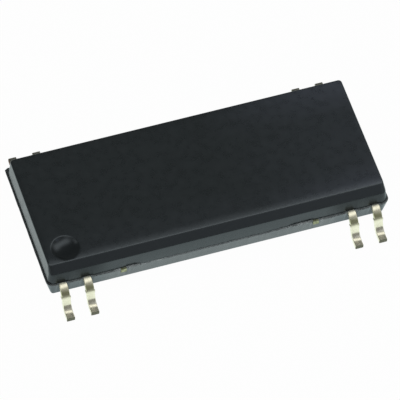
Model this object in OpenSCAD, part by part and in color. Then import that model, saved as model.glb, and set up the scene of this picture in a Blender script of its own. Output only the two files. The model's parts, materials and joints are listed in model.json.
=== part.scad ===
// Moulded surface-mount semiconductor package: a long black body with two gull-wing leads at
// each corner, and a chip pair inside on a copper-alloy lead frame.
// Millimetres. The origin is the centre of the footprint on the seating plane, +X runs along
// the body, -Y is the side of the first lead and the index dimple, and +Z is up.

/* [Leads] */
// Spacing of neighbouring lead positions
pitch = 1.27; // [1.1:0.01:1.6]
// Lead positions along each side, of which only the two at each end hold a lead
positions = 14; // [12:1:20]
// Width of a lead
lead_w = 0.42; // [0.3:0.01:0.5]
// Thickness of the lead frame
lead_t = 0.25; // [0.15:0.01:0.3]
// Straight run from the body to the first bend
shoulder_l = 0.03; // [0.02:0.01:0.3]
// Inner radius of the first bend
knee_r = 0.36; // [0.15:0.01:0.4]
// Inner radius of the second bend
ankle_r = 0.45; // [0.15:0.01:0.48]
// Slope of the leg, from level
leg_angle = 71; // [66:1:78]
// Flat length of the foot
foot_l = 0.25; // [0.2:0.01:0.8]
// How far the cut dam bar stands out on each side of a lead
dam_stub = 0.03; // [0.01:0.005:0.08]
// Turn of the first bend that the cut dam bar takes up, from the leg back
dam_turn = 16; // [10:1:40]

/* [Body] */
// Gap between the underside and the seating plane
standoff = 0.27; // [0.1:0.01:0.4]
// Height of the lower half, up to the parting plane
lower_h = 1.06; // [0.8:0.01:1.2]
// Height of the upper half, above the parting plane
upper_h = 1.03; // [0.95:0.01:1.5]
// Width at the parting plane
body_w = 7.5; // [6.8:0.1:9]
// Distance from the outer lead's centre line to the body's end
end_margin = 0.76; // [0.65:0.01:1.2]
// Draft of the lower half's sides
lower_draft = 12; // [4:0.5:14]
// Draft of the upper half's sides
upper_draft = 7.5; // [2:0.5:10]
// Corner radius at the parting plane
corner_r = 0.36; // [0.32:0.01:0.6]
// Ledge that the lower half leaves all round the smaller upper half
ledge = 0.07; // [0.03:0.01:0.12]
// How far the upper half sits to the rear of the lower one
mismatch = 0.02; // [0.005:0.005:0.06]
// Bevel along the top edge on the first lead's side
bevel = 0.38; // [0.2:0.01:0.5]
// Radius of the bevel's two edges
bevel_r = 0.14; // [0.05:0.01:0.2]
// Radius of the other top edges
top_r = 0.07; // [0.03:0.01:0.12]

/* [Marks] */
// Rim diameter of the index dimple
dimple_d = 1.45; // [1:0.05:1.6]
// Depth of the index dimple
dimple_depth = 0.2; // [0.05:0.01:0.3]
// Distance of the dimple's centre from the body's end
dimple_x = 1.3; // [1.15:0.05:2]
// Distance of the dimple's centre from the body's side
dimple_y = 1.35; // [1.2:0.05:2]
// Diameter of the ejector marks under the body
ejector_d = 1.6; // [1:0.1:2]
// Depth of the ejector marks
ejector_depth = 0.05; // [0.02:0.01:0.1]
// Distance between the ejector marks
ejector_spacing = 9.6; // [6:0.1:11]

/* [Lead frame inside the body] */
// Narrow neck of a lead inside the body
neck_l = 0.35; // [0.2:0.01:0.5]
// Length of a bond finger
finger_l = 1; // [0.85:0.01:1.2]
// Width of a bond finger
finger_w = 0.8; // [0.6:0.01:0.9]
// Diameter of the hole that locks a finger in the moulding
anchor_d = 0.36; // [0.2:0.01:0.4]
// Distance of that hole's centre from the neck
anchor_inset = 0.3; // [0.25:0.01:0.4]
// Length of a chip's pad
pad_l = 5; // [4:0.1:6]
// Gap between a pad and the finger tips
pad_gap = 0.5; // [0.3:0.01:0.8]
// Corner radius of a pad
pad_r = 0.25; // [0.1:0.01:0.5]
// Width of a pad's tie bar
tie_w = 0.3; // [0.2:0.01:0.5]
// Distance of the tie bars from the outer lead, in pitches
tie_pitches = 2.5; // [2.3:0.1:3]
// How far a cut tie bar stands out of the body
tie_stub = 0.05; // [0.02:0.01:0.1]

/* [Chips] */
// Length of a chip
chip_l = 2.6; // [2:0.1:3]
// Width of a chip
chip_w = 2.2; // [1.6:0.1:2.6]
// Thickness of a chip
chip_t = 0.25; // [0.15:0.01:0.35]
// Thickness of the bonding layer under a chip
bond_t = 0.05; // [0.02:0.01:0.08]
// How far the bonding layer shows round a chip
bond_rim = 0.1; // [0.05:0.01:0.2]

/* [Bond wires] */
// Diameter of a wire
wire_d = 0.1; // [0.05:0.01:0.13]
// Diameter of a wire's rising ends, as a share of the wire's
rise_share = 1.2; // [1.1:0.05:1.4]
// Height of a wire's loop over the higher of its two ends
wire_loop = 0.25; // [0.2:0.01:0.35]
// Bend radius along a wire's centre line
wire_bend_r = 0.15; // [0.1:0.01:0.18]
// Diameter of the flattened ends
weld_d = 0.18; // [0.16:0.01:0.25]
// Thickness of the flattened ends
weld_t = 0.04; // [0.02:0.01:0.06]
// Distance of a weld's centre from the edge of what it is on
weld_inset = 0.25; // [0.15:0.01:0.3]
// Where a source wire leaves its chip, as a share of the way from the middle to the gate's place
source_share = 0.4; // [0.2:0.1:0.6]
// Where an inner drain wire leaves its pad, as a share of the way from the middle to the outer one
drain_share = 0.6; // [0.4:0.1:0.8]

/* [Hidden] */
$fn = 64;

left = -1;
right = 1;
front = -1;
rear = 1;
outer = 0;
inner = 1;

mould_colour = [0.13, 0.14, 0.15];
plating_colour = [0.80, 0.78, 0.68];
copper_colour = [0.72, 0.56, 0.33];
silicon_colour = [0.36, 0.38, 0.43];
solder_colour = [0.62, 0.63, 0.64];
gold_colour = [0.86, 0.68, 0.30];

outer_x = (positions - 1) / 2 * pitch;
body_l = 2 * (outer_x + end_margin);
core_l = body_l - 2 * corner_r;
core_w = body_w - 2 * corner_r;
parting_z = standoff + lower_h;
frame_top = parting_z;
frame_z = frame_top - lead_t;

pad_x = outer_x - tie_pitches * pitch;
pad_w = body_w - 2 * (neck_l + finger_l + pad_gap);
chip_z = frame_top + bond_t;
chip_top = chip_z + chip_t;
weld_y = body_w / 2 - neck_l - finger_l + weld_inset;

// Centre line of a lead outside the body: a bend, a sloping leg and a bend back to level
knee_mid = knee_r + lead_t / 2;
ankle_mid = ankle_r + lead_t / 2;
leg_drop = frame_z - (knee_mid + ankle_mid) * (1 - cos(leg_angle));
leg_l = leg_drop / sin(leg_angle);
ankle_reach = shoulder_l + (knee_mid + ankle_mid) * sin(leg_angle) + leg_l * cos(leg_angle);
// Length of the points that join the straight stretches of a lead to its bends
joint_point = 0.05;
// How far cutting shapes reach past the body
overlap = 0.5;
// Least distance of a rounded edge's centre from its corner's axis, in edge radii
arc_clear = 1.1;

function lead_x(side, slot) = side * (outer_x - slot * pitch);

function polar(r, angle) = r * [cos(angle), sin(angle)];

// A sector of a disc, from one angle to another less than half a turn on
module disc_sector(r, from, to) {
    intersection() {
        circle(r);
        polygon([[0, 0], for (angle = [from, (from + to) / 2, to]) polar(2 * r, angle)]);
    }
}

module ring_sector(inner_r, wall, from, to) {
    difference() {
        disc_sector(inner_r + wall, from, to);
        circle(inner_r);
    }
}

// A straight stretch of a lead, with pointed ends that lie inside the bends they join
module straight(l, end_point = joint_point) {
    polygon([[0, 0], [l, 0], [l + end_point, lead_t / 2], [l, lead_t], [0, lead_t],
             [-joint_point, lead_t / 2]]);
}

// Side view of the bent stretch of a lead, outwards from the body's side
module gull_wing_profile() {
    translate([0, frame_z]) straight(shoulder_l);
    translate([shoulder_l, frame_z - knee_r]) {
        ring_sector(knee_r, lead_t, 90 - leg_angle, 90);
        rotate(-leg_angle) translate([0, knee_r]) straight(leg_l);
    }
    translate([ankle_reach, lead_t + ankle_r])
        ring_sector(ankle_r, lead_t, 270 - leg_angle, 270);
    translate([ankle_reach, 0]) straight(foot_l, 0);
}

// Side view of the cut dam bar, at the end of the first bend
module dam_profile() {
    translate([shoulder_l, frame_z - knee_r])
        ring_sector(knee_r, lead_t, 90 - leg_angle, 90 - leg_angle + dam_turn);
}

// Top view of the flat stretch: bond finger, anchor hole and neck
module finger_outline() {
    difference() {
        union() {
            translate([-lead_w / 2, 0]) square([lead_w, neck_l]);
            translate([-finger_w / 2, neck_l]) square([finger_w, finger_l]);
        }
        translate([0, neck_l + anchor_inset]) circle(d = anchor_d);
    }
}

module lead(side, row, slot) {
    color(plating_colour)
    translate([lead_x(side, slot), 0, 0]) rotate([0, 0, row == front ? 0 : 180])
    translate([0, -body_w / 2, 0]) {
        rotate([90, 0, -90]) {
            linear_extrude(lead_w, center = true) gull_wing_profile();
            linear_extrude(lead_w + 2 * dam_stub, center = true) dam_profile();
        }
        translate([0, 0, frame_z]) linear_extrude(lead_t) finger_outline();
    }
}

// A plate with rounded corners, centred on the origin
module rounded_plate(l, w, r) {
    square([l - 2 * r, w], center = true);
    square([l, w - 2 * r], center = true);
    for (x = [-1, 1], y = [-1, 1]) translate([x * (l / 2 - r), y * (w / 2 - r)]) circle(r);
}

// A chip's pad with its two tie bars, which end just outside the body
module die_pad(side) {
    color(copper_colour)
    translate([side * pad_x, 0, frame_z]) linear_extrude(lead_t) {
        rounded_plate(pad_l, pad_w, pad_r);
        square([tie_w, body_w + 2 * tie_stub], center = true);
    }
}

module die_bond(side) {
    color(solder_colour)
    translate([side * pad_x, 0, frame_top]) linear_extrude(bond_t)
        rounded_plate(chip_l + 2 * bond_rim, chip_w + 2 * bond_rim, bond_rim);
}

module chip(side) {
    color(silicon_colour)
    translate([side * pad_x, 0, chip_z]) linear_extrude(chip_t) square([chip_l, chip_w], center = true);
}

// A wire between two points: a flattened end, a rise, a level span, a drop and a flattened end
module bond_wire(from, to) {
    across = [to.x - from.x, to.y - from.y];
    run = norm(across);
    loop_z = max(from.z, to.z) + wire_loop;
    bend_z = loop_z - wire_bend_r;
    color(gold_colour)
    translate([from.x, from.y, 0]) rotate([0, 0, atan2(across.y, across.x)]) {
        translate([0, 0, from.z]) cylinder(d = weld_d, h = weld_t);
        translate([0, 0, from.z]) cylinder(d = rise_share * wire_d, h = bend_z - from.z);
        translate([wire_bend_r, 0, bend_z]) rotate([90, 0, 0]) rotate([0, 0, 90])
            rotate_extrude(angle = 90) translate([wire_bend_r, 0]) circle(d = wire_d);
        translate([wire_bend_r, 0, loop_z]) rotate([0, 90, 0])
            cylinder(d = wire_d, h = run - 2 * wire_bend_r);
        translate([run - wire_bend_r, 0, bend_z]) rotate([90, 0, 0])
            rotate_extrude(angle = 90) translate([wire_bend_r, 0]) circle(d = wire_d);
        translate([run, 0, to.z]) cylinder(d = rise_share * wire_d, h = bend_z - to.z);
        translate([run, 0, to.z]) cylinder(d = weld_d, h = weld_t);
    }
}

// Where a wire lands on a bond finger
function finger_weld(side, row, slot) = [lead_x(side, slot), row * weld_y, frame_top];

// The chip's gate is near its outer corner and its source further in, on the row given
function chip_weld(side, row, share) =
    [side * (pad_x + share * (chip_l / 2 - weld_inset)), row * (chip_w / 2 - weld_inset), chip_top];

// The drain is the chip's underside, so its wires leave from the pad
function pad_weld(side, row, share) =
    [side * (pad_x + share * (pad_l / 2 - weld_inset)), row * (pad_w / 2 - weld_inset), frame_top];

// The right half is the left half turned by half a turn, so its gate is on the rear side
module gate_wire(side) {
    bond_wire(chip_weld(side, side, 1), finger_weld(side, side, outer));
}

module source_wire(side) {
    bond_wire(chip_weld(side, side, source_share), finger_weld(side, side, inner));
}

module drain_wire_outer(side) {
    bond_wire(pad_weld(side, -side, 1), finger_weld(side, -side, outer));
}

module drain_wire_inner(side) {
    bond_wire(pad_weld(side, -side, drain_share), finger_weld(side, -side, inner));
}

// The lower half, from the parting plane down to a sharp edge, upside down
module lower_half() {
    taper = lower_h * tan(lower_draft);
    rotate([90, 0, 0]) linear_extrude(core_w, center = true)
        drafted_section(body_l / 2, lower_h, taper);
    rotate([90, 0, 90]) linear_extrude(core_l, center = true)
        drafted_section(body_w / 2, lower_h, taper);
    for (x = [-1, 1], y = [-1, 1]) translate([x * core_l / 2, y * core_w / 2, 0])
        cylinder(r1 = corner_r, r2 = corner_r - taper, h = lower_h);
}

module drafted_section(reach, h, taper) {
    polygon([[-reach, 0], [reach, 0], [reach - taper, h], [-reach + taper, h]]);
}

// The upper half, from the parting plane up to rounded edges
module upper_half() {
    foot_r = corner_r - ledge;
    end_r = foot_r - upper_h * tan(upper_draft);
    // the corner that is left at the top limits the edge radius
    edge_r = min(top_r, end_r / (arc_clear + (1 - sin(upper_draft)) / cos(upper_draft)));
    rotate([90, 0, 0]) linear_extrude(core_w, center = true)
        rounded_section(core_l / 2 + foot_r, upper_h, upper_draft, edge_r);
    rotate([90, 0, 90]) linear_extrude(core_l, center = true)
        rounded_section(core_w / 2 + foot_r, upper_h, upper_draft, edge_r);
    for (x = [0, 1], y = [0, 1]) mirror([x, 0, 0]) mirror([0, y, 0])
        translate([core_l / 2, core_w / 2, 0])
            rotate_extrude(angle = 90) side_section(foot_r, upper_h, upper_draft, edge_r);
}

module rounded_section(reach, h, draft, edge_r) {
    for (side = [0, 1]) mirror([side, 0, 0]) side_section(reach, h, draft, edge_r);
}

// One side of a section: a drafted wall and a rounded edge
module side_section(reach, h, draft, edge_r) {
    centre = [reach - (h - edge_r) * tan(draft) - edge_r / cos(draft), h - edge_r];
    polygon([[0, 0], [reach, 0], centre + polar(edge_r, draft), centre, [centre.x, h], [0, h]]);
    translate(centre) disc_sector(edge_r, draft, 90);
}

// What the bevel takes off the top edge, over the whole length, with both its edges rounded
module bevel_cut() {
    slope = 135; // which way the bevel faces, in the section
    wall = 180 - upper_draft; // which way the wall faces
    foot = [-body_w / 2 + ledge + (upper_h - bevel) * tan(upper_draft), upper_h - bevel];
    edge_centre = foot + [bevel, bevel] - polar(bevel_r / cos((slope - 90) / 2), (slope + 90) / 2);
    foot_centre = foot - polar(bevel_r / cos((wall - slope) / 2), (wall + slope) / 2);
    wall_end = foot_centre + polar(bevel_r, wall);
    outside_y = -body_w / 2 - overlap;
    rotate([90, 0, 90]) linear_extrude(body_l + 2 * overlap, center = true) difference() {
        polygon([[edge_centre.x, upper_h + overlap], edge_centre + [0, bevel_r],
                 edge_centre + polar(bevel_r, slope), foot_centre + polar(bevel_r, slope), wall_end,
                 [outside_y, wall_end.y], [outside_y, upper_h + overlap]]);
        for (centre = [edge_centre, foot_centre]) translate(centre) circle(bevel_r);
    }
}

// A shallow spherical hollow, on the upper half's top
module dimple_cut() {
    ball_r = (dimple_d * dimple_d / 4 + dimple_depth * dimple_depth) / (2 * dimple_depth);
    translate([-body_l / 2 + dimple_x, -body_w / 2 + dimple_y, upper_h - dimple_depth + ball_r])
        sphere(ball_r);
}

module ejector_cuts() {
    for (x = [-1, 1])
        translate([x * ejector_spacing / 2, 0, standoff - overlap])
            cylinder(d = ejector_d, h = overlap + ejector_depth);
}

// Everything that the moulding was cast round
module inserts() {
    for (side = [left, right]) {
        for (row = [front, rear], slot = [outer, inner]) lead(side, row, slot);
        die_pad(side);
        die_bond(side);
        chip(side);
        gate_wire(side);
        source_wire(side);
        drain_wire_outer(side);
        drain_wire_inner(side);
    }
}

module moulded_body() {
    color(mould_colour)
    difference() {
        union() {
            translate([0, mismatch, parting_z]) difference() {
                upper_half();
                bevel_cut();
                dimple_cut();
            }
            translate([0, 0, parting_z]) mirror([0, 0, 1]) lower_half();
        }
        ejector_cuts();
        inserts();
    }
}

moulded_body();
lead(left, front, outer);  // lead_front_left_outer
lead(left, front, inner);  // lead_front_left_inner
lead(right, front, inner);  // lead_front_right_inner
lead(right, front, outer);  // lead_front_right_outer
lead(right, rear, outer);  // lead_rear_right_outer
lead(right, rear, inner);  // lead_rear_right_inner
lead(left, rear, inner);  // lead_rear_left_inner
lead(left, rear, outer);  // lead_rear_left_outer
die_pad(left);  // die_pad_left
die_pad(right);  // die_pad_right
die_bond(left);  // die_bond_left
die_bond(right);  // die_bond_right
chip(left);  // chip_left
chip(right);  // chip_right
gate_wire(left);  // gate_wire_left
source_wire(left);  // source_wire_left
drain_wire_outer(left);  // drain_wire_outer_left
drain_wire_inner(left);  // drain_wire_inner_left
gate_wire(right);  // gate_wire_right
source_wire(right);  // source_wire_right
drain_wire_outer(right);  // drain_wire_outer_right
drain_wire_inner(right);  // drain_wire_inner_right
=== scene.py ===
import bpy
import json
import math
from mathutils import Matrix, Vector, noise
from mathutils.geometry import delaunay_2d_cdt

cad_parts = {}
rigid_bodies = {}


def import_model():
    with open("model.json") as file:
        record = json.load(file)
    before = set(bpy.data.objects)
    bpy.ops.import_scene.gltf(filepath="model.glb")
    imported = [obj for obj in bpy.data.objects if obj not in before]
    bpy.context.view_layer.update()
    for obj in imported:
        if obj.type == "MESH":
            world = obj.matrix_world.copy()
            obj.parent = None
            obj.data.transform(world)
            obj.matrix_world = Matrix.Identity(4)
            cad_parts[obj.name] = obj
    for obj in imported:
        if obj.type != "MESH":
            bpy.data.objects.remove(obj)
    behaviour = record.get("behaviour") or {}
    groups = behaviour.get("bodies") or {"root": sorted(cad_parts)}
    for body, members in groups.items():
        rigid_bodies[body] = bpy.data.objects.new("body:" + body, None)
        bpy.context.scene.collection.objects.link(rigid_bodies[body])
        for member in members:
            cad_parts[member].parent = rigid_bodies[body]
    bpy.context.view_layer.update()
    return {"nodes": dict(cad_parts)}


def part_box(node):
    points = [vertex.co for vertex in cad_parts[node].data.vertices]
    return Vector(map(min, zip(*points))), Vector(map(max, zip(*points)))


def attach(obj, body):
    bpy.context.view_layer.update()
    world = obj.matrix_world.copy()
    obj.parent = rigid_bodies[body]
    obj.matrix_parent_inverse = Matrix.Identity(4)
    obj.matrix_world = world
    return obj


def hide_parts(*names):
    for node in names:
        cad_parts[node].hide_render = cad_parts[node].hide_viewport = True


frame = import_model()
mm = 0.001
print("frame:", len(frame["nodes"]), "nodes")

# places that the solids give, in millimetres
bodyLow, bodyHigh = (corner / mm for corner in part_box("moulded_body"))
leadNodes = sorted(name for name in frame["nodes"] if name.startswith("lead_"))
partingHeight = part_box(leadNodes[0])[1].z / mm
leadPlaces = sorted({round((low.x + high.x) / 2 / mm, 3) for low, high in map(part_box, leadNodes)})
tieBars = [(low.x + high.x) / 2 / mm for low, high in (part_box("die_pad_left"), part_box("die_pad_right"))]


def unit(value):
    return min(1.0, max(0.0, value))


def eased(share):
    return share * share * (3 - 2 * share)


def bell(distance, width):
    # all at a place, fading to both sides of it
    return math.exp(-(distance / width) ** 2)


def addPiece(name, mesh):
    piece = bpy.data.objects.new(name, mesh)
    bpy.context.scene.collection.objects.link(piece)
    return piece


# shader and geometry trees

class Wire:
    # a socket that takes part in sums
    def __init__(self, graph, socket):
        self.graph = graph
        self.socket = socket

    def sum(self, operation, first, second):
        return self.graph.node("ShaderNodeMath", {"operation": operation}, {0: first, 1: second})

    def __add__(self, other):
        return self.sum("ADD", self, other)

    def __radd__(self, other):
        return self.sum("ADD", other, self)

    def __sub__(self, other):
        return self.sum("SUBTRACT", self, other)

    def __rsub__(self, other):
        return self.sum("SUBTRACT", other, self)

    def __mul__(self, other):
        return self.sum("MULTIPLY", self, other)

    def __rmul__(self, other):
        return self.sum("MULTIPLY", other, self)

    def __truediv__(self, other):
        return self.sum("DIVIDE", self, other)

    def most(self, other):
        return self.sum("MAXIMUM", self, other)

    def least(self, other):
        return self.sum("MINIMUM", self, other)

    def size(self):
        return self.sum("ABSOLUTE", self, 0.0)

    def clip(self):
        return self.most(0.0).least(1.0)

    def towards(self, other, share):
        return self + (other - self) * share

    def ramp(self, low, high, start=0.0, end=1.0):
        sockets = {"Value": self, "From Min": low, "From Max": high, "To Min": start, "To Max": end}
        return self.graph.node("ShaderNodeMapRange", {"clamp": True}, sockets)


class Graph:
    # makes the nodes of one tree
    def __init__(self, tree):
        self.tree = tree

    def node(self, kind, settings, sockets, output=0):
        made = self.tree.nodes.new(kind)
        for key, value in settings.items():
            setattr(made, key, value)
        for key, value in sockets.items():
            if isinstance(value, Wire):
                self.tree.links.new(value.socket, made.inputs[key])
            else:
                made.inputs[key].default_value = value
        return Wire(self, made.outputs[output]) if made.outputs else None

    def mix(self, factor, first, second):
        return self.node("ShaderNodeMix", {"data_type": "RGBA"}, {0: factor, 6: first, 7: second}, 2)


class Finish(Graph):
    # one material, on the piece's own coordinates in millimetres
    def __init__(self, name):
        self.material = bpy.data.materials.new(name)
        self.material.use_nodes = True
        super().__init__(self.material.node_tree)
        self.tree.nodes.clear()
        place = self.node("ShaderNodeTexCoord", {}, {}, "Object")
        self.place = self.node("ShaderNodeVectorMath", {"operation": "SCALE"}, {0: place, "Scale": 1 / mm})

    def stretch(self, factors):
        return self.node("ShaderNodeVectorMath", {"operation": "MULTIPLY"}, {0: self.place, 1: factors})

    def grain(self, scale, detail, roughness, where=None):
        sockets = {"Vector": where or self.place, "Scale": scale, "Detail": detail, "Roughness": roughness}
        return self.node("ShaderNodeTexNoise", {}, sockets)

    def axis(self, name):
        return self.node("ShaderNodeSeparateXYZ", {}, {0: self.place}, name)

    def own(self, name):
        return self.node("ShaderNodeAttribute", {"attribute_name": name}, {}, "Fac")

    def bump(self, height, depth):
        return self.node("ShaderNodeBump", {}, {"Height": height, "Strength": 1.0, "Distance": depth * mm})

    def surface(self, sockets):
        shader = self.node("ShaderNodeBsdfPrincipled", {}, sockets)
        self.node("ShaderNodeOutputMaterial", {}, {"Surface": shader})
        return self.material


# in each look, a noise is given as its scale, detail and roughness
noiseSpan = (0.3, 0.7)  # most of a noise lies between these


def mouldFinish():
    look = {
        "dark": (0.0040, 0.0048, 0.0052, 1), "light": (0.0068, 0.0078, 0.0084, 1),
        # the second colour on the next line is the lip's paler tone: paler flash resin, and a painted
        # highlight along the lip's edge
        "filler": (0.036, 0.040, 0.040, 1), "ledge": (0.07, 0.077, 0.077, 1), "torn": (0.52, 0.55, 0.54, 1),
        # the first colour on the next line is a painted sheen, lighter and bluer, for where the top catches
        # more light
        "paintedSheen": (0.058, 0.062, 0.083, 1), "tint": (0.82, 0.92, 0.97, 1), "ior": 1.86,
        "cloud": (0.55, 4.0, 0.6), "flow": (2.2, 3.0, 0.55), "grain": (20.0, 3.0, 0.6),
        "grit": (48.0, 1.0, 0.5), "tear": (9.0, 3.0, 0.6),
        # the share that a noise has of the tone, the painted sheen, the roughness and the bump
        "toneFlow": 0.5, "paintedSheenFlow": 0.3, "roughFlow": 0.4, "bumpGrit": 0.3,
        # where a mark starts and is full
        "fillerSpan": (0.70, 0.80), "fillerShare": 0.35, "tearSpan": (0.35, 0.55), "ledgeSpan": (0.0, 0.5),
        # the painted sheen's ends on the top, along it, across it and towards the front edge, and its share
        # at them
        "paintedSheenAlong": (1.0, 8.4), "paintedSheenAcross": (1.6, 3.3, 0.3, 1.0), "paintedFrontSheen": (-1.2, -2.9, 0.0, 0.15),
        # roughness of each part, and the grain's depth with the share that the dimple loses
        "side": (0.22, 0.30), "top": (0.26, 0.34), "bevel": 0.36, "dimple": 0.24,
        "grainDepth": 0.0014, "grainLoss": 0.8,
    }
    finish = Finish("mouldCompound")
    cloud = finish.grain(*look["cloud"]).ramp(*noiseSpan)
    flow = finish.grain(*look["flow"]).ramp(*noiseSpan)
    grain = finish.grain(*look["grain"])
    grit = finish.grain(*look["grit"])
    torn = finish.own("torn").clip() * finish.grain(*look["tear"]).ramp(*look["tearSpan"])
    flashAndLipHighlight = finish.own("flash").clip().ramp(*look["ledgeSpan"])
    top = finish.own("top").clip()
    polish = finish.own("polish").clip()
    tone = finish.mix(cloud.towards(flow, look["toneFlow"]), look["dark"], look["light"])
    tone = finish.mix(grit.ramp(*look["fillerSpan"]) * look["fillerShare"], tone, look["filler"])
    # painted sheen: the top is made lighter and bluer towards its right corners and along its front edge,
    # where it catches more light; the dimple gets none
    atEdge = finish.axis("Y").size().ramp(*look["paintedSheenAcross"])
    atFront = finish.axis("Y").ramp(*look["paintedFrontSheen"])
    paintedSheen = (finish.axis("X").ramp(*look["paintedSheenAlong"]) * atEdge).most(atFront)
    paintedSheen = paintedSheen * top * (1.0 - polish) * (1 - look["paintedSheenFlow"] + flow * look["paintedSheenFlow"])
    tone = finish.mix(paintedSheen, tone, look["paintedSheen"])
    # paler tone on the lip and in the filled crease: paler flash resin, and a painted highlight along the
    # lip's edge
    tone = finish.mix(flashAndLipHighlight, tone, look["ledge"])
    # pale lip edge: paler torn resin, and a painted highlight along the whole front lip
    tone = finish.mix(torn, tone, look["torn"])
    texture = grain.towards(flow, look["roughFlow"])
    rough = texture.ramp(*noiseSpan, *look["side"]).towards(texture.ramp(*noiseSpan, *look["top"]), top)
    rough = rough.towards(look["bevel"], finish.own("bevelled").clip())
    rough = rough.towards(look["dimple"], polish)
    relief = grain.towards(grit, look["bumpGrit"]) * (1.0 - polish * look["grainLoss"])
    dull = finish.own("dull").clip()  # lowers the shine: painted shade beside the leads and in the dimple
    bump = finish.bump(relief, look["grainDepth"])
    return finish.surface({
        "Base Color": tone, "Metallic": dull, "Roughness": rough, "Normal": bump,
        "IOR": look["ior"], "Specular Tint": look["tint"],
    })


def platingFinish():
    look = {
        "tint": (1.0, 0.945, 0.75, 1), "dull": (0.76, 0.71, 0.48, 1), "cut": (0.17, 0.165, 0.12, 1),
        "copper": (0.20, 0.12, 0.085, 1), "kneeWearAndShade": (0.55, 0.54, 0.32, 1), "darkened": (0.30, 0.29, 0.25, 1),
        "roughness": (0.24, 0.34), "bendRoughness": 0.07, "cutRoughness": 0.25,
        "streak": (6.0, 3.0, 0.6), "streakAlong": 0.2, "streakDepth": 0.0004,
        "stain": (3.0, 3.0, 0.6), "stainSpan": (0.45, 0.75), "stainShare": 0.3,
    }
    finish = Finish("leadPlating")
    cut = finish.own("cut").clip()
    bare = finish.own("bare").clip()
    bend = finish.own("bend").clip()
    rolled = {"X": finish.own("across"), "Y": finish.own("along") * look["streakAlong"]}
    streak = finish.grain(*look["streak"], finish.node("ShaderNodeCombineXYZ", {}, rolled))
    stain = finish.grain(*look["stain"]).ramp(*look["stainSpan"])
    tone = finish.mix(stain * look["stainShare"], look["tint"], look["dull"])
    # painted shade: the knee's bend darker and olive where its dark reflection falls; it is rougher there too
    tone = finish.mix(bend, tone, look["kneeWearAndShade"])
    # the rear leads are darker all over
    tone = finish.mix(finish.own("darkened").clip(), tone, look["darkened"])
    tone = finish.mix(cut, tone, look["cut"])
    tone = finish.mix(bare, tone, look["copper"])
    rough = streak.ramp(*noiseSpan, *look["roughness"]) + bend * look["bendRoughness"]
    rough = rough + cut.most(bare) * look["cutRoughness"]
    bump = finish.bump(streak, look["streakDepth"])
    return finish.surface({"Base Color": tone, "Metallic": 1.0, "Roughness": rough, "Normal": bump})


def frameFinish():
    look = {
        "bright": (0.42, 0.43, 0.27, 1), "dull": (0.16, 0.17, 0.08, 1), "roughness": (0.3, 0.5),
        "stain": (6.0, 3.0, 0.6), "stainSpan": (0.35, 0.7),
        "shear": (30.0, 2.0, 0.5), "shearStretch": (1.0, 1.0, 0.15), "shearDepth": 0.004,
    }
    finish = Finish("frameCopper")
    stain = finish.grain(*look["stain"]).ramp(*look["stainSpan"])
    shear = finish.grain(*look["shear"], finish.stretch(look["shearStretch"]))
    tone = finish.mix(stain, look["bright"], look["dull"])
    rough = shear.ramp(*noiseSpan, *look["roughness"])
    bump = finish.bump(shear, look["shearDepth"])
    return finish.surface({"Base Color": tone, "Metallic": 1.0, "Roughness": rough, "Normal": bump})


def innerFinish(look):
    finish = Finish(look["name"])
    blotch = finish.grain(*look["blotch"])
    tone = finish.mix(blotch.ramp(*noiseSpan), *look["tones"])
    rough = blotch.ramp(*noiseSpan, *look["roughness"])
    bump = finish.bump(blotch, look["depth"])
    return finish.surface({
        "Base Color": tone, "Metallic": look["metallic"], "Roughness": rough, "Normal": bump,
    })


# the moulded body

moulding = {
    "lowerDraft": 12.0, "upperDraft": {"front": 7.5, "rear": 6.0, "left": 7.5, "right": 7.5},
    "cornerRadius": 0.36, "ledge": 0.07, "ledgeFall": 0.008, "bevel": 0.38,
    "shift": {"front": 0.02, "rear": -0.02, "left": -0.03, "right": -0.03},  # of the upper half, inwards
    # how the top rolls down towards each edge, and the straight stretch that the sides end in
    "roll": {"front": {"width": 0.42, "fall": 0.041}, "rear": {"width": 0.10, "fall": 0.006},
             "left": {"width": 0.16, "fall": 0.028}, "right": {"width": 0.20, "fall": 0.010}},
    "rollEnd": 0.0118, "rollRun": 0.058,
    "rollBlend": 8,  # how sharply the rolls of two sides meet at a corner
    "topRounding": {"front": 0.14, "rear": 0.045, "left": 0.09, "right": 0.06},
    "lipRounding": {"front": 0.018, "rear": 0.04, "left": 0.02, "right": 0.02},
    "underRounding": 0.15, "creaseRounding": 0.012, "bevelRounding": 0.14,
    # the mesh
    "arcSteps": 6, "longSteps": 340, "shortSteps": 110, "cornerSteps": 10, "holdGap": 0.006,
    "leastCorner": 0.05, "leastLevel": 0.0012, "underStrip": 0.3, "sharpAngle": 38.0,
}
marks = {
    "dimple": {"diameter": 1.45, "depth": 0.2, "fullness": 2.7, "fromEnd": 1.3, "fromSide": 1.35,
               # the dull share on the next line darkens the dimple: painted shade in its hollow, given as
               # lost shine
               "rim": 0.02, "dull": 0.3, "rings": 12,
               "rimRings": (-0.04, -0.02, -0.008, 0.004, 0.016, 0.035, 0.07, 0.14)},
    "ejectors": {"diameter": 1.6, "depth": 0.05, "spacing": 9.6, "wall": 0.015},
    "circleSteps": 90, "gridStep": 0.45, "margin": 0.012, "nearest": 1e-7,
    "edgeRows": (0.03, 0.07, 0.12, 0.18, 0.26, 0.36),
}
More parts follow.
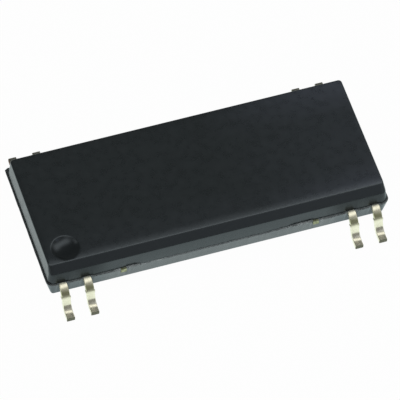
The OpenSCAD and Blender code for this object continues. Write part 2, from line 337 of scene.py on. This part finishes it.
flash = {
    # along the front lip
    "proud": 0.022, "ragged": 0.014, "height": 0.10, "fade": 0.10, "reach": 4.9, "shade": 0.12,
    "lipShare": 0.5,  # the flash attribute on a plain lip, and as much again for a full crease
    # in the crease over it
    "fill": 0.075, "fillHeight": 0.22, "fillSpan": (-4.45, 3.95), "fillShade": 0.4,
    "fillShare": 0.62, "fillSlope": -0.04, "fillRagged": 0.3,
    # beside the leads, as far as the bar that was cut away
    "damProud": 0.05, "damFill": 0.032, "damClear": 0.27, "damShade": 0.08, "damCorner": 0.3,
    # at the two ends, and at the rear left corner
    "endProud": {"left": 0.04, "right": 0.03}, "cornerShare": 0.9, "cornerBack": 0.19, "cornerRun": 0.5,
    # offset from a tie bar, width and how far it stands out
    "flakes": ((-0.28, 0.09, 0.03), (0.27, 0.08, 0.03), (0.80, 0.12, 0.02)),
    # the painted highlight all along the front lip, and the places and half widths of torn edges, paler as
    # torn resin and as painted highlight
    "paintedLipHighlight": 0.3, "paintedLipHighlightReach": 8.9,
    "torn": ((-5.3, 0.2), (-4.7, 0.2), (-4.1, 0.25), (-3.3, 0.35),
             (3.7, 0.2), (4.25, 0.15), (4.6, 0.2), (5.25, 0.25)),
    # noises: scale, and the increment, spacing and number of octaves
    "tearGrain": 3.2, "tearNoise": (0.6, 2.0, 4), "edgeGrain": 1.7, "edgeNoise": (0.7, 2.1, 4),
    "edgeRagged": 0.008, "seed": 7.3,
}
# painted shade, given as shine that the long sides lose, most beside the leads
shadeByLeads = {"least": 0.12, "most": 0.51, "near": 0.3, "run": 1.2, "depth": 0.36}


def rounded(corners):
    # a polyline of (inset, height, radius) with an arc in place of each inner corner
    path = [Vector(corners[0][:2])]
    steps = moulding["arcSteps"]
    for before, here, after in zip(corners, corners[1:], corners[2:]):
        point, radius = Vector(here[:2]), here[2]
        back = (Vector(before[:2]) - point).normalized()
        ahead = (Vector(after[:2]) - point).normalized()
        half = back.angle(ahead) / 2
        run = radius / math.tan(half)
        centre = point + (back + ahead).normalized() * radius / math.sin(half)
        start, end = point + back * run - centre, point + ahead * run - centre
        turn = -start.angle_signed(end)
        path.append(centre + start + back * moulding["holdGap"])
        for step in range(steps + 1):
            path.append(centre + Matrix.Rotation(turn * step / steps, 2) @ start)
        path.append(centre + end + ahead * moulding["holdGap"])
    return path


def ledgeWidth(side):
    return moulding["ledge"] + moulding["shift"][side]


def edgeFall(side):
    # how far the section's edge lies under the top: the roll's first stretch is straight
    roll = moulding["roll"][side]
    return moulding["rollEnd"] + moulding["rollRun"] * 2 * roll["fall"] / roll["width"]


def topEdge(side):
    # inset of the top's edge on one side
    slope = math.tan(math.radians(moulding["upperDraft"][side]))
    edge = ledgeWidth(side) + (bodyHigh.z - partingHeight - edgeFall(side)) * slope
    return edge + moulding["bevel"] * (1 - slope) if side == "front" else edge


def bevelFoot():
    # height of the bevel's lower edge
    return bodyHigh.z - edgeFall("front") - moulding["bevel"]


def sideSection(side):
    # the outline of one side, from under the body to its top, as (inset, height)
    lowerTaper = (partingHeight - bodyLow.z) * math.tan(math.radians(moulding["lowerDraft"]))
    edge = topEdge(side)
    end = (edge + moulding["rollRun"], bodyHigh.z - moulding["rollEnd"])
    corners = [
        (lowerTaper + moulding["underStrip"], bodyLow.z, 0.0),
        (lowerTaper, bodyLow.z, moulding["underRounding"]),
        (0.0, partingHeight - moulding["ledgeFall"], moulding["lipRounding"][side]),
        (ledgeWidth(side), partingHeight, moulding["creaseRounding"]),
        (edge, bodyHigh.z - edgeFall(side), moulding["topRounding"][side]),
        end,
    ]
    if side == "front":
        corners.insert(-2, (edge - moulding["bevel"], bevelFoot(), moulding["bevelRounding"]))
    return rounded(corners) + [Vector(end)]


def readOff(section, height):
    # the inset of a section at a height
    for low, high in zip(section, section[1:]):
        if low.y <= height <= high.y and high.y > low.y:
            return low.x + (high.x - low.x) * (height - low.y) / (high.y - low.y)
    return section[0].x if height < section[0].y else section[-1].x


def besideLeads(x):
    # how much a place on the front lip lies between or beside the leads
    clear = min(abs(x - place) for place in leadPlaces) - flash["damClear"]
    corner = (bodyHigh.x - abs(x)) / moulding["cornerRadius"] - flash["damCorner"]
    return unit(min(clear / flash["damShade"], (abs(x) - flash["reach"]) / flash["shade"], corner))


def creaseFill(x, torn):
    # how far the flash fills the crease over the front lip
    start, end = flash["fillSpan"]
    share = min(1.0, flash["fillShare"] + flash["fillSlope"] * x + flash["fillRagged"] * torn)
    filled = unit(min(x - start, end - x) / flash["fillShade"]) * flash["fill"] * share
    return filled + flash["damFill"] * besideLeads(x)


def lipHold(side, inset, height):
    # how much of the lip's own push a level takes
    below = partingHeight - height
    if below < 0:
        return 0.0
    if below <= moulding["ledgeFall"]:
        return unit(1 - inset / ledgeWidth(side))
    return unit((flash["height"] + flash["fade"] - below) / flash["fade"])


def lipPush(spot, side, inset, height):
    # how far the lower half's lip, with its flash, stands out of the true outline
    below = partingHeight - height
    if not -flash["fillHeight"] <= below <= flash["height"] + flash["fade"]:
        return 0.0
    torn = noise.fractal(Vector((spot.x, 0.0, flash["seed"])) * flash["tearGrain"], *flash["tearNoise"])
    filled = creaseFill(spot.x, torn) if side == "front" else 0.0
    if below < 0:
        return filled * (1 + below / flash["fillHeight"])
    edge = noise.fractal(Vector((spot.x, spot.y, flash["seed"])) * flash["edgeGrain"], *flash["edgeNoise"])
    out = edge * flash["edgeRagged"] + flash["endProud"].get(side, 0.0)
    if spot.x < 0 < spot.y:  # the rear left corner is filled out
        away = spot.x - bodyLow.x if side == "left" else bodyHigh.y - spot.y
        out += flash["cornerShare"] * (away - inset)
    if side == "front":
        span = unit((flash["reach"] - abs(spot.x)) / flash["shade"])
        out += span * max(0.0, flash["proud"] + torn * flash["ragged"])
        out += flash["damProud"] * besideLeads(spot.x)
        for bar in tieBars:
            for offset, width, proud in flash["flakes"]:
                out += proud * bell(spot.x - bar - offset, width)
    hold = lipHold(side, inset, height)
    inner = filled if below <= moulding["ledgeFall"] else 0.0
    return out * hold + inner * (1 - hold)


def bodyOutline(insets):
    # one level's plain outline, anticlockwise from the front left corner
    left, right = bodyLow.x + insets["left"], bodyHigh.x - insets["right"]
    front, rear = bodyLow.y + insets["front"], bodyHigh.y - insets["rear"]
    radius = max(moulding["cornerRadius"] - insets["left"], moulding["leastCorner"])
    corners = ((left + radius, front + radius), (right - radius, front + radius),
               (right - radius, rear - radius), (left + radius, rear - radius))
    turns = moulding["cornerSteps"]
    points = []
    for index, centre in enumerate(corners):
        start = math.pi * (1 + index / 2)
        arc = [start + math.pi / 2 * step / turns for step in range(turns + 1)]
        points += [Vector((centre[0] + radius * math.cos(a), centre[1] + radius * math.sin(a))) for a in arc]
        outward = Vector((math.cos(arc[-1]), math.sin(arc[-1]))) * radius
        begin, end = Vector(centre) + outward, Vector(corners[(index + 1) % 4]) + outward
        steps = moulding["longSteps"] if index % 2 == 0 else moulding["shortSteps"]
        points += [begin.lerp(end, step / steps) for step in range(1, steps)]
    return points


def bodyRing(insets, height):
    # one level of the moulding, with each point's push outwards
    ring = []
    for point in bodyOutline(insets):
        if bodyHigh.x - abs(point.x) < bodyHigh.y - abs(point.y):
            side, outward = ("left", (-1, 0)) if point.x < 0 else ("right", (1, 0))
        else:
            side, outward = ("front", (0, -1)) if point.y < 0 else ("rear", (0, 1))
        out = lipPush(point, side, insets[side], height)
        fromCorner = point.x - bodyLow.x + bodyHigh.y - point.y
        back = flash["cornerBack"] * bell(fromCorner, flash["cornerRun"])
        back *= lipHold(side, insets[side], height)
        ring.append((Vector((point.x + outward[0] * out, point.y + outward[1] * out + back, height)), out))
    return ring


def dimpleCentre():
    hollow = marks["dimple"]
    front = bodyLow.y + moulding["shift"]["front"]
    return Vector((bodyLow.x + hollow["fromEnd"], front + hollow["fromSide"]))


def dimpleDepth(spot):
    # depth of the index dimple under the top: a bowl with a soft rim
    hollow = marks["dimple"]
    away, radius = (spot - dimpleCentre()).length, hollow["diameter"] / 2
    if away >= 2 * radius:
        return 0.0
    cap = hollow["depth"] * (1 - (away / radius) ** hollow["fullness"])
    return (cap + math.sqrt(cap ** 2 + hollow["rim"] ** 2)) / 2


def ejectorDepth(spot):
    pin = marks["ejectors"]
    away = math.hypot(abs(spot.x) - pin["spacing"] / 2, spot.y)
    return pin["depth"] * unit((pin["diameter"] / 2 - away) / pin["wall"])


def topFall(spot):
    # how far the rolled edges take the top down
    away = {
        "left": spot.x - bodyLow.x, "right": bodyHigh.x - spot.x,
        "front": spot.y - bodyLow.y, "rear": bodyHigh.y - spot.y,
    }
    blend = moulding["rollBlend"]
    total = 0.0
    for side, roll in moulding["roll"].items():
        share = max(0.0, 1 - (away[side] - topEdge(side)) / roll["width"])
        total += (roll["fall"] * share ** 2) ** blend
    return total ** (1 / blend)


def topLift(spot):
    # height of the top over its outline's level, with the dimple sunk in
    return moulding["rollEnd"] - topFall(spot) - dimpleDepth(spot)


def settleEdge(rings, levels):
    # lowers each column's edge to where the rolled top meets it
    low = bodyHigh.z - moulding["bevel"]
    for column, last in enumerate([point.copy() for point in rings[-1]]):
        extra = topFall(last.to_2d()) - moulding["rollEnd"]
        for ring, level in zip(rings, levels):
            ring[column].z -= extra * eased(max(0.0, (level - low) / (levels[-1] - low)))


def gridLines(low, high, edgeRows):
    # even lines between two edges, with closer ones beside them
    step = marks["gridStep"]
    lines = [low + step * index for index in range(1, int((high - low) / step))]
    return sorted(lines + [low + row for row in edgeRows] + [high - row for row in edgeRows])


def fillFace(outline, level, circles, edgeRows, lift):
    # closes a face with rings of points round its marks and a grid between them
    spots = [point.to_2d() for point in outline]
    edges = [(index, (index + 1) % len(spots)) for index in range(len(spots))]
    low = Vector((min(p.x for p in spots), min(p.y for p in spots)))
    high = Vector((max(p.x for p in spots), max(p.y for p in spots)))
    margin, steps = marks["margin"], marks["circleSteps"]

    def inside(spot):
        return low.x + margin < spot.x < high.x - margin and low.y + margin < spot.y < high.y - margin

    def clear(spot):
        return all((spot - centre).length > radii[-1] + 2 * margin for centre, radii in circles)

    for centre, radii in circles:
        for order, radius in enumerate(radii):
            angles = [2 * math.pi * (step + order % 2 / 2) / steps for step in range(steps)]
            ring = [centre + Vector((math.cos(a), math.sin(a))) * radius for a in angles]
            spots += [spot for spot in ring if inside(spot)]
    for x in gridLines(low.x, high.x, edgeRows):
        for y in gridLines(low.y, high.y, edgeRows):
            spot = Vector((x, y))
            if inside(spot) and clear(spot):
                spots.append(spot)
    insideOnly = 1  # of the outline
    spots, _, faces, origins, _, _ = delaunay_2d_cdt(spots, edges, [], insideOnly, marks["nearest"])
    return [Vector((p.x, p.y, level + lift(p))) for p in spots], faces, origins


def tornAndHighlightShare(point):
    # how much of the front lip's edge is painted pale: torn places, paler as torn resin and as painted
    # highlight, and a painted highlight all along it
    if point.y > 0:
        return 0.0
    highlighted = flash["paintedLipHighlight"] if abs(point.x) < flash["paintedLipHighlightReach"] else 0.0
    return min(1.0, highlighted + sum(bell(point.x - place, half) for place, half in flash["torn"]))


def onBevel(point):
    return point.z > bevelFoot() and point.y - bodyLow.y < topEdge("front")


def paintedShadeByLeads(point):
    # how much painted shade, as lost shine, a spot on a long side takes: most beside the leads
    if point.z > bevelFoot() or bodyHigh.y - abs(point.y) > shadeByLeads["depth"]:
        return 0.0
    away = min(abs(point.x - place) for place in leadPlaces)
    share = unit(1 - (away - shadeByLeads["near"]) / shadeByLeads["run"])
    return shadeByLeads["least"] + (shadeByLeads["most"] - shadeByLeads["least"]) * eased(share)


def bodyLevels(sections):
    levels = []
    for level in sorted(point.y for section in sections.values() for point in section):
        if not levels or level - levels[-1] > moulding["leastLevel"]:
            levels.append(level)
    levels[-1] = bodyHigh.z - moulding["rollEnd"]
    return levels


def wallFaces(levelCount, around):
    faces = []
    for first in range(0, (levelCount - 1) * around, around):
        for column in range(around):
            beside = (column + 1) % around
            faces.append((first + column, first + beside, first + around + beside, first + around + column))
    return faces


def markCircles():
    # where rings of points go round the dimple and round the ejector marks
    hollow, pin = marks["dimple"], marks["ejectors"]
    radius, count = hollow["diameter"] / 2, hollow["rings"]
    dimpleRings = [(radius + hollow["rimRings"][0]) * step / count for step in range(1, count)]
    dimpleRings += [radius + offset for offset in hollow["rimRings"]]
    radius, wall = pin["diameter"] / 2, pin["wall"]
    pinRings = [radius / 2, radius - 2 * wall, radius - wall, radius, radius + wall]
    pins = [(Vector((side * pin["spacing"] / 2, 0)), pinRings) for side in (-1, 1)]
    return [(dimpleCentre(), dimpleRings)], pins


def mouldBody():
    sections = {side: sideSection(side) for side in moulding["roll"]}
    levels = bodyLevels(sections)
    lipDepth = moulding["ledgeFall"] + moulding["lipRounding"]["front"]
    rings, flashAndLipHighlight, torn = [], [], []
    for level in levels:
        ring = bodyRing({side: readOff(section, level) for side, section in sections.items()}, level)
        rings.append([point for point, _ in ring])
        onLip = float(0 <= partingHeight - level <= lipDepth)
        # the flash share, which also carries the lip's painted highlight
        flashAndLipHighlight += [flash["lipShare"] * (onLip + max(0.0, out / flash["fill"])) for _, out in ring]
        # the torn places and the painted highlight along the lip
        torn += [onLip * tornAndHighlightShare(point) for point, _ in ring]
    settleEdge(rings, levels)
    around = len(rings[0])
    vertices = [point for ring in rings for point in ring]
    faces = wallFaces(len(levels), around)
    isTop = [0.0] * (len(vertices) - around) + [1.0] * around
    dimple, pins = markCircles()
    ends = (
        (len(rings) - 1, dimple, marks["edgeRows"], topLift, True),
        (0, pins, (), ejectorDepth, False),
    )
    for index, circles, edgeRows, lift, upward in ends:
        spots, triangles, origins = fillFace(rings[index], levels[index], circles, edgeRows, lift)
        number = {}
        for spot, source in enumerate(origins):
            onRim = [given for given in source if given < around]
            number[spot] = index * around + onRim[0] if onRim else len(vertices)
            if not onRim:
                vertices.append(spots[spot])
                isTop.append(float(upward))
        for triangle in triangles:
            a, b, c = (spots[corner] for corner in triangle)
            facesUp = (b - a).cross(c - a).z > 0
            corners = [number[corner] for corner in triangle]
            faces.append(tuple(corners if facesUp == upward else reversed(corners)))
    mesh = bpy.data.meshes.new("mouldedPackage")
    mesh.from_pydata([point * mm for point in vertices], [], faces)
    hollow = marks["dimple"]
    sunk = [min(1.0, dimpleDepth(point.to_2d()) / hollow["rim"]) for point in vertices]
    polish = [top * share for top, share in zip(isTop, sunk)]
    rest = [0.0] * (len(vertices) - len(flashAndLipHighlight))
    shares = {
        "flash": flashAndLipHighlight + rest, "torn": torn + rest, "top": isTop, "polish": polish,
        "bevelled": [float(onBevel(point)) for point in vertices],
        # painted shade beside the leads and in the dimple, given as lost shine
        "dull": [max(paintedShadeByLeads(point), hollow["dull"] * share) for point, share in zip(vertices, polish)],
    }
    for name, values in shares.items():
        mesh.attributes.new(name, "FLOAT", "POINT").data.foreach_set("value", values)
    mesh.shade_smooth()
    mesh.set_sharp_from_angle(angle=math.radians(moulding["sharpAngle"]))
    return addPiece("moulded_package", mesh)


# the leads

leadForm = {
    "width": 0.42, "thickness": 0.25, "shoulder": -0.08, "kneeRadius": 0.514, "ankleRadius": 0.45,
    "legSlope": 71.0, "foot": 0.25, "edgeRounding": 0.025, "crown": 0.04,
    # the cut dam bar, and the part inside the moulding
    "damStub": 0.03, "damTurn": 13.0, "damSwell": 1.3, "neck": 0.35, "finger": 1.0, "fingerWidth": 0.8,
    "anchorHole": 0.36, "anchorInset": 0.3,
    # wear and painted shade: the bend's worn place, darkened where its dark reflection falls, cut edges, bare
    # copper edges and the rear leads' darker tone
    "kneeWearAndShadeTurn": 45.0, "kneeWearAndShadeSpread": 16.0, "cutStart": 0.3, "cutShare": 0.5,
    "bareLead": "lead_rear_left_outer", "bareRun": (-0.03, -0.01), "rearDarkened": 0.9,
    # how uneven the strip is, and the step from one lead's seed to the next
    "wobble": 0.004, "wobbleGrain": 2.5, "wobbleDetail": 1.0, "seedStep": 1.7,
    # the mesh
    "station": 0.02, "stepRun": 0.008, "profilePoints": 56, "roundingSteps": 4, "holePoints": 32,
    "sharpAngle": 50.0,
}


def leadStations():
    # the lead's centre line as (outward, height, width, toe, bend), from the bond finger inside to the toe
    form = leadForm
    half = form["thickness"] / 2
    middle = partingHeight - half
    slope = math.radians(form["legSlope"])
    knee, ankle = form["kneeRadius"] + half, form["ankleRadius"] + half
    legRun = (middle - half - (knee + ankle) * (1 - math.cos(slope))) / math.sin(slope)
    width, stub, step = form["width"], form["width"] + 2 * form["damStub"], form["stepRun"]
    flat = [
        (-form["neck"] - form["finger"], form["fingerWidth"]), (-form["neck"] - step, form["fingerWidth"]),
        (-form["neck"], width), (form["shoulder"] - step, width),
    ]
    stations = [(out, middle, wide, 0.0, 0.0) for out, wide in flat]

    def shares(length):
        count = max(2, round(length / form["station"]))
        return [index / count for index in range(count + 1)]

    for share in shares(knee * slope):
        angle = slope * share
        swell = max(0.0, 1 - (slope - angle) / math.radians(form["damTurn"]))
        wide = width + (stub - width) * min(1.0, math.sin(math.pi * swell) * form["damSwell"])
        out = form["shoulder"] + knee * math.sin(angle)
        # the knee's worn place, which is also painted darker
        kneeWearAndShade = bell(math.degrees(angle) - form["kneeWearAndShadeTurn"], form["kneeWearAndShadeSpread"])
        stations.append((out, middle - knee * (1 - math.cos(angle)), wide, 0.0, kneeWearAndShade))
    out, height = stations[-1][:2]
    for share in shares(legRun)[1:-1]:
        run = legRun * share
        stations.append((out + run * math.cos(slope), height - run * math.sin(slope), width, 0.0, 0.0))
    out += legRun * math.cos(slope)
    for share in shares(ankle * slope):
        angle = slope * (1 - share)
        rise = ankle * (1 - math.cos(angle))
        stations.append((out + ankle * (math.sin(slope) - math.sin(angle)), half + rise, width, 0.0, 0.0))
    out = stations[-1][0]
    for share in shares(form["foot"])[1:]:
        stations.append((out + form["foot"] * share, half, width, float(share == 1), 0.0))
    return stations


def leadTree():
    # sweeps a rounded strip along the lead's path, and gives each stretch its own width
    form = leadForm
    tree = bpy.data.node_groups.new("bentLead", "GeometryNodeTree")
    graph = Graph(tree)
    inputs = {
        "Path": "Geometry", "Width": "Float", "Thickness": "Float", "Edge rounding": "Float",
        "Crown": "Float", "Profile points": "Int", "Dam stub": "Float", "Bare edges": "Float",
        "Anchor hole": "Float", "Anchor place": "Vector", "Wobble": "Float", "Wobble grain": "Float",
        "Darkened": "Float", "Seed": "Float", "Place": "Vector", "Turn": "Vector", "Finish": "Material",
    }
    sockets = {}
    for name, kind in inputs.items():
        made = tree.interface.new_socket(name, in_out="INPUT", socket_type="NodeSocket" + kind)
        sockets[name] = made.identifier
    tree.interface.new_socket("Lead", in_out="OUTPUT", socket_type="NodeSocketGeometry")
    given = tree.nodes.new("NodeGroupInput")
    take = {name: Wire(graph, given.outputs[name]) for name in inputs}

    def keep(geometry, name, value):
        settings = {"data_type": "FLOAT", "domain": "POINT"}
        return graph.node("GeometryNodeStoreNamedAttribute", settings,
                          {"Geometry": geometry, "Name": name, "Value": value})

    def reshape(geometry, x, y, z):
        moved = graph.node("ShaderNodeCombineXYZ", {}, {"X": x, "Y": y, "Z": z})
        return graph.node("GeometryNodeSetPosition", {}, {"Geometry": geometry, "Position": moved})

    path = graph.node("GeometryNodeMeshToCurve", {}, {"Mesh": take["Path"]})
    path = graph.node("GeometryNodeSetCurveNormal", {"mode": "FREE"},
                      {"Curve": path, "Normal": (1.0, 0.0, 0.0)})
    path = keep(path, "along", graph.node("GeometryNodeSplineParameter", {}, {}, "Length"))
    strip = graph.node("GeometryNodeCurvePrimitiveQuadrilateral", {},
                       {"Width": take["Width"], "Height": take["Thickness"]})
    strip = graph.node("GeometryNodeFilletCurve", {"mode": "POLY"},
                       {"Curve": strip, "Count": form["roundingSteps"], "Radius": take["Edge rounding"]})
    strip = graph.node("GeometryNodeResampleCurve", {"mode": "COUNT"},
                       {"Curve": strip, "Count": take["Profile points"]})
    spot = graph.node("GeometryNodeInputPosition", {}, {})
    x, y, z = (graph.node("ShaderNodeSeparateXYZ", {}, {0: spot}, name) for name in "XYZ")
    aside = x * 2.0 / take["Width"]
    strip = reshape(strip, x, y * (1.0 - take["Crown"] * aside * aside), z)
    lead = graph.node("GeometryNodeCurveToMesh", {},
                      {"Curve": path, "Profile Curve": strip, "Fill Caps": True})
    wide, toe = (graph.node("GeometryNodeInputNamedAttribute", {"data_type": "FLOAT"}, {"Name": name})
                 for name in ("width", "toe"))
    lead = reshape(lead, x * (wide / take["Width"]), y, z)
    lead = keep(lead, "across", x)
    beyond = x.size() - take["Width"] * 0.5
    damCut = beyond.ramp(take["Dam stub"] * form["cutStart"], take["Dam stub"]) * form["cutShare"]
    lead = keep(lead, "cut", toe.most(damCut))
    lead = keep(lead, "bare", beyond.ramp(*form["bareRun"]) * take["Bare edges"])
    lead = keep(lead, "darkened", take["Darkened"])
    hole = graph.node("GeometryNodeMeshCylinder", {},
                      {"Vertices": form["holePoints"], "Radius": take["Anchor hole"] * 0.5,
                       "Depth": take["Thickness"] * 2.0})
    hole = graph.node("GeometryNodeTransform", {}, {"Geometry": hole, "Translation": take["Anchor place"]})
    lead = graph.node("GeometryNodeMeshBoolean", {"operation": "DIFFERENCE", "solver": "EXACT"},
                      {"Mesh 1": lead, "Mesh 2": hole})
    wobble = {"W": take["Seed"], "Scale": take["Wobble grain"], "Detail": form["wobbleDetail"]}
    drift = graph.node("ShaderNodeTexNoise", {"noise_dimensions": "4D"}, wobble, "Color")
    middle = (0.5, 0.5, 0.5)  # of the noise
    drift = graph.node("ShaderNodeVectorMath", {"operation": "SUBTRACT"}, {0: drift, 1: middle})
    drift = graph.node("ShaderNodeVectorMath", {"operation": "SCALE"}, {0: drift, "Scale": take["Wobble"]})
    lead = graph.node("GeometryNodeSetPosition", {}, {"Geometry": lead, "Offset": drift})
    turn = graph.node("FunctionNodeEulerToRotation", {}, {0: take["Turn"]})
    lead = graph.node("GeometryNodeTransform", {}, {"Geometry": lead, "Translation": take["Place"],
                                                    "Rotation": turn, "Scale": (mm, mm, mm)})
    lead = graph.node("GeometryNodeSetShadeSmooth", {}, {"Geometry": lead})
    lead = graph.node("GeometryNodeRealizeInstances", {}, {"Geometry": lead})
    lead = graph.node("GeometryNodeSetMaterial", {}, {"Geometry": lead, "Material": take["Finish"]})
    graph.node("NodeGroupOutput", {}, {"Lead": lead})
    return tree, sockets


def bendLeads(finish):
    # one lead for each of the frame's, at its place
    form = leadForm
    tree, sockets = leadTree()
    stations = leadStations()
    chain = [(index, index + 1) for index in range(len(stations) - 1)]
    for order, name in enumerate(leadNodes):
        low, high = (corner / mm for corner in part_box(name))
        isFront = low.y + high.y < 0
        path = bpy.data.meshes.new(name + "Path")
        path.from_pydata([(0.0, -station[0], station[1]) for station in stations], chain, [])
        for column, label in ((2, "width"), (3, "toe"), (4, "bend")):
            own = path.attributes.new(label, "FLOAT", "POINT")
            own.data.foreach_set("value", [station[column] for station in stations])
        lead = addPiece("plated_" + name, path)
        bend = lead.modifiers.new("bend", "NODES")
        bend.node_group = tree
        side = bodyLow.y if isFront else bodyHigh.y
        values = {
            "Width": form["width"], "Thickness": form["thickness"], "Edge rounding": form["edgeRounding"],
            "Crown": form["crown"], "Profile points": form["profilePoints"], "Dam stub": form["damStub"],
            "Bare edges": float(name == form["bareLead"]), "Anchor hole": form["anchorHole"],
            "Anchor place": (0.0, form["neck"] + form["anchorInset"], partingHeight - form["thickness"] / 2),
            "Wobble": form["wobble"], "Wobble grain": form["wobbleGrain"], "Seed": form["seedStep"] * order,
            "Darkened": 0.0 if isFront else form["rearDarkened"],
            "Place": ((low.x + high.x) / 2 * mm, side * mm, 0.0),
            "Turn": (0.0, 0.0, 0.0 if isFront else math.pi), "Finish": finish,
        }
        for label, value in values.items():
            bend[sockets[label]] = value
        shaped = lead.evaluated_get(bpy.context.evaluated_depsgraph_get())
        plain = bpy.data.meshes.new_from_object(shaped)
        lead.modifiers.clear()
        lead.data = plain
        plain.set_sharp_from_angle(angle=math.radians(form["sharpAngle"]))
        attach(lead, "root")
        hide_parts(name)
    print("leads:", len(leadNodes), "of", len(lead.data.polygons), "faces each")


# the pads, of which only the cut tie bars show, and what the moulding hides

innerLooks = {
    "die_bond": {"name": "dieSolder", "tones": ((0.42, 0.43, 0.44, 1), (0.30, 0.31, 0.33, 1)),
                 "metallic": 1.0, "roughness": (0.35, 0.55), "blotch": (9.0, 3.0, 0.6), "depth": 0.002},
    "chip": {"name": "chipSilicon", "tones": ((0.10, 0.11, 0.14, 1), (0.16, 0.17, 0.20, 1)),
             "metallic": 0.6, "roughness": (0.12, 0.24), "blotch": (5.0, 3.0, 0.6), "depth": 0.002},
    "wire": {"name": "bondGold", "tones": ((0.86, 0.62, 0.22, 1), (0.74, 0.50, 0.17, 1)),
             "metallic": 1.0, "roughness": (0.18, 0.32), "blotch": (20.0, 3.0, 0.6), "depth": 0.002},
}


def dressInside():
    finishes = {"die_pad": frameFinish()}
    for label, look in innerLooks.items():
        finishes[label] = innerFinish(look)
    for name, node in frame["nodes"].items():
        for label, finish in finishes.items():
            if label in name:
                node.data.materials.clear()
                node.data.materials.append(finish)
    print("inside:", len(finishes), "finishes")


# the floor, the light and the camera

studio = {
    "floorSize": 4.0, "floorColour": (0.86, 0.86, 0.86, 1), "white": (1.0, 1.0, 1.0, 1),
    "mirrored": (0.91, 1.0, 0.985, 1), "glow": 0.98,
    "air": {"rear": (0.140, 0.151, 0.149, 1), "front": (0.205, 0.212, 0.215, 1), "turn": (0.3, -0.6)},
    # a long soft light overhead: the axes across and along it, and where its light starts and is full on each
    "strip": {"colour": (1.15, 1.17, 1.17, 1), "across": (-0.40, 0.91, 0.07), "along": (0.86, 0.42, -0.29),
              "width": (0.39, 0.08), "length": (0.85, 0.40), "rise": (0.0, 0.3)},
    "lamps": {  # place, size, brightness and colour of each softbox
        "right": {"at": (0.22, -0.22, 0.28), "size": 0.20, "brightness": 0.6, "colour": (0.90, 0.95, 1.12)},
        "left": {"at": (-0.35, 0.0, 0.22), "size": 0.30, "brightness": 0.6, "colour": (1.0, 1.0, 1.0)},
    },
}
# the photo's camera: angles in degrees, distance in metres and target in millimetres
view = {"azimuth": -19.68, "elevation": 54.55, "roll": 2.32, "distance": 0.2639, "lens": 468.7,
        "target": (-0.0179, -0.5303, 0.8402), "clipStart": 0.01}


def layFloor():
    half = studio["floorSize"] / 2
    corners = [(-half, -half, 0), (half, -half, 0), (half, half, 0), (-half, half, 0)]
    mesh = bpy.data.meshes.new("studioFloor")
    mesh.from_pydata(corners, [], [(0, 1, 2, 3)])
    floor = addPiece("studio_floor", mesh)
    finish = Finish("floorPaper")
    paper = finish.node("ShaderNodeBsdfDiffuse", {}, {"Color": studio["floorColour"]})
    camera, glossy, clear = (finish.node("ShaderNodeLightPath", {}, {}, name) for name in
                             ("Is Camera Ray", "Is Glossy Ray", "Is Transmission Ray"))
    white = finish.mix(camera, studio["mirrored"], studio["white"])
    glow = finish.node("ShaderNodeEmission", {}, {"Color": white, "Strength": 1.0})
    seen = camera.most(glossy).most(clear)
    mixed = finish.node("ShaderNodeMixShader", {}, {0: seen * studio["glow"], 1: paper, 2: glow})
    finish.node("ShaderNodeOutputMaterial", {}, {"Surface": mixed})
    mesh.materials.append(finish.material)


def lightStudio():
    world = bpy.data.worlds.new("studioAir")
    world.use_nodes = True
    world.node_tree.nodes.clear()
    sky = Graph(world.node_tree)
    outwards = sky.node("ShaderNodeTexCoord", {}, {}, "Generated")
    strip, air = studio["strip"], studio["air"]
    settings = {"clamp": True, "interpolation_type": "SMOOTHSTEP"}
    shares = []
    for axis, (start, full) in ((strip["across"], strip["width"]), (strip["along"], strip["length"])):
        away = sky.node("ShaderNodeVectorMath", {"operation": "DOT_PRODUCT"},
                        {0: outwards, 1: Vector(axis).normalized()}, "Value").size()
        sockets = {"Value": away, "From Min": start, "From Max": full}
        shares.append(sky.node("ShaderNodeMapRange", settings, sockets))
    ahead, above = (sky.node("ShaderNodeSeparateXYZ", {}, {0: outwards}, axis) for axis in "YZ")
    tone = sky.mix(ahead.ramp(*air["turn"]), air["rear"], air["front"])
    tone = sky.mix(shares[0] * shares[1] * above.ramp(*strip["rise"]), tone, strip["colour"])
    light = sky.node("ShaderNodeBackground", {}, {"Color": tone})
    sky.node("ShaderNodeOutputWorld", {}, {"Surface": light})
    bpy.context.scene.world = world
    for name, box in studio["lamps"].items():
        lamp = bpy.data.lights.new(name, "AREA")
        lamp.shape = "SQUARE"
        lamp.size = box["size"]
        lamp.color = box["colour"]
        lamp.energy = box["brightness"] * math.pi * box["size"] ** 2
        light = bpy.data.objects.new(name + "_softbox", lamp)
        light.location = box["at"]
        light.rotation_euler = Vector(box["at"]).to_track_quat("Z", "Y").to_euler()
        bpy.context.scene.collection.objects.link(light)


def aimCamera():
    azimuth, elevation, roll = (math.radians(view[name]) for name in ("azimuth", "elevation", "roll"))
    back = Vector((math.sin(azimuth) * math.cos(elevation), -math.cos(azimuth) * math.cos(elevation),
                   math.sin(elevation)))
    level = Vector((math.cos(azimuth), math.sin(azimuth), 0))
    above = back.cross(level)
    right = level * math.cos(roll) + above * math.sin(roll)
    place = Matrix((right, back.cross(right), back)).transposed().to_4x4()
    place.translation = Vector(view["target"]) * mm + back * view["distance"]
    lens = bpy.data.cameras.new("camera")
    lens.lens = view["lens"]
    lens.clip_start = view["clipStart"]
    camera = bpy.data.objects.new("camera", lens)
    camera.matrix_world = place
    bpy.context.scene.collection.objects.link(camera)
    bpy.context.scene.camera = camera


body = mouldBody()
body.data.materials.append(mouldFinish())
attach(body, "root")
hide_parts("moulded_body")
print("body:", len(body.data.polygons), "faces")

bendLeads(platingFinish())
dressInside()

layFloor()
lightStudio()
aimCamera()
bpy.context.scene.view_settings.view_transform = "Standard"
print("studio set")
